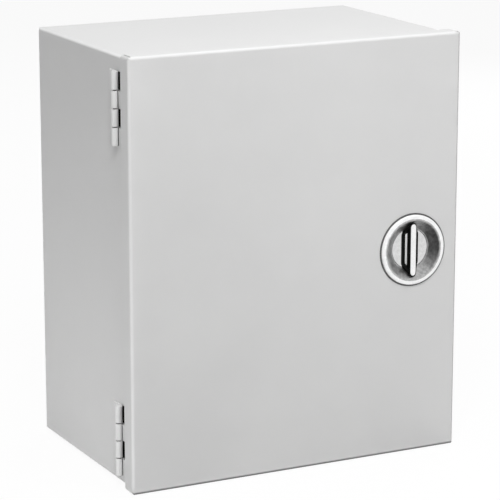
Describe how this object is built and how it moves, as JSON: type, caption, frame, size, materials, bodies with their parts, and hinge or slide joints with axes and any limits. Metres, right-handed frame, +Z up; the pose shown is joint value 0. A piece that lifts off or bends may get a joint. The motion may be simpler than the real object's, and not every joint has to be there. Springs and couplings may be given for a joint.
{
  "type": "electrical enclosure",
  "caption": "Grey sheet-steel wall enclosure with a lapped hinged door, butt hinges, a round cup latch with a grip blade and a back panel on studs.",
  "frame": {"origin": "centre of the wall-fixing hole pattern, on the box's back face", "axes": "+Z up, the door faces -Y, the back face looks along +Y, and +X points to the latch side as seen from the front"},
  "size_m": [0.2625, 0.1685, 0.3086],
  "materials": {
    "body_paint": "satin light grey powder paint",
    "door_paint": "satin light grey powder paint",
    "hinge_paint": "satin light grey paint over steel",
    "panel_paint": "satin white paint",
    "gasket_foam": "matt black closed-cell foam",
    "seal_rubber": "matt black rubber",
    "latch_chrome": "bright die-cast metal",
    "zinc_plate": "zinc-plated steel"
  },
  "bodies": {
    "body": {"body_shell": "body_paint", "body_lip": "body_paint", "upper_hinge_body_leaf": "hinge_paint", "upper_hinge_pin": "hinge_paint", "lower_hinge_body_leaf": "hinge_paint", "lower_hinge_pin": "hinge_paint", "panel_studs": "zinc_plate", "back_panel": "panel_paint", "panel_washers": "zinc_plate", "panel_nuts": "zinc_plate", "ground_stud": "zinc_plate", "ground_washer": "zinc_plate", "ground_nut": "zinc_plate"},
    "door": {"door_panel": "door_paint", "door_gasket": "gasket_foam", "upper_hinge_door_leaf": "hinge_paint", "lower_hinge_door_leaf": "hinge_paint", "latch_cup": "latch_chrome", "latch_cup_seal": "seal_rubber", "latch_ring_nut": "zinc_plate", "door_ground_stud": "zinc_plate", "door_ground_washer": "zinc_plate", "door_ground_nut": "zinc_plate"},
    "latch": {"latch_knob": "latch_chrome", "latch_spring_washer": "zinc_plate", "latch_cam": "zinc_plate", "latch_cam_screw": "zinc_plate"}
  },
  "joints": [
    {"name": "door_hinge", "type": "hinge", "parent": "body", "child": "door", "pos_m": [-0.1299, -0.1438, 0], "axis": [0, 0, -1], "range_deg": [0, 180]},
    {"name": "latch_turn", "type": "hinge", "parent": "door", "child": "latch", "pos_m": [0.0925, -0.1665, -0.002], "axis": [0, 1, 0], "range_deg": [0, 90]}
  ]
}
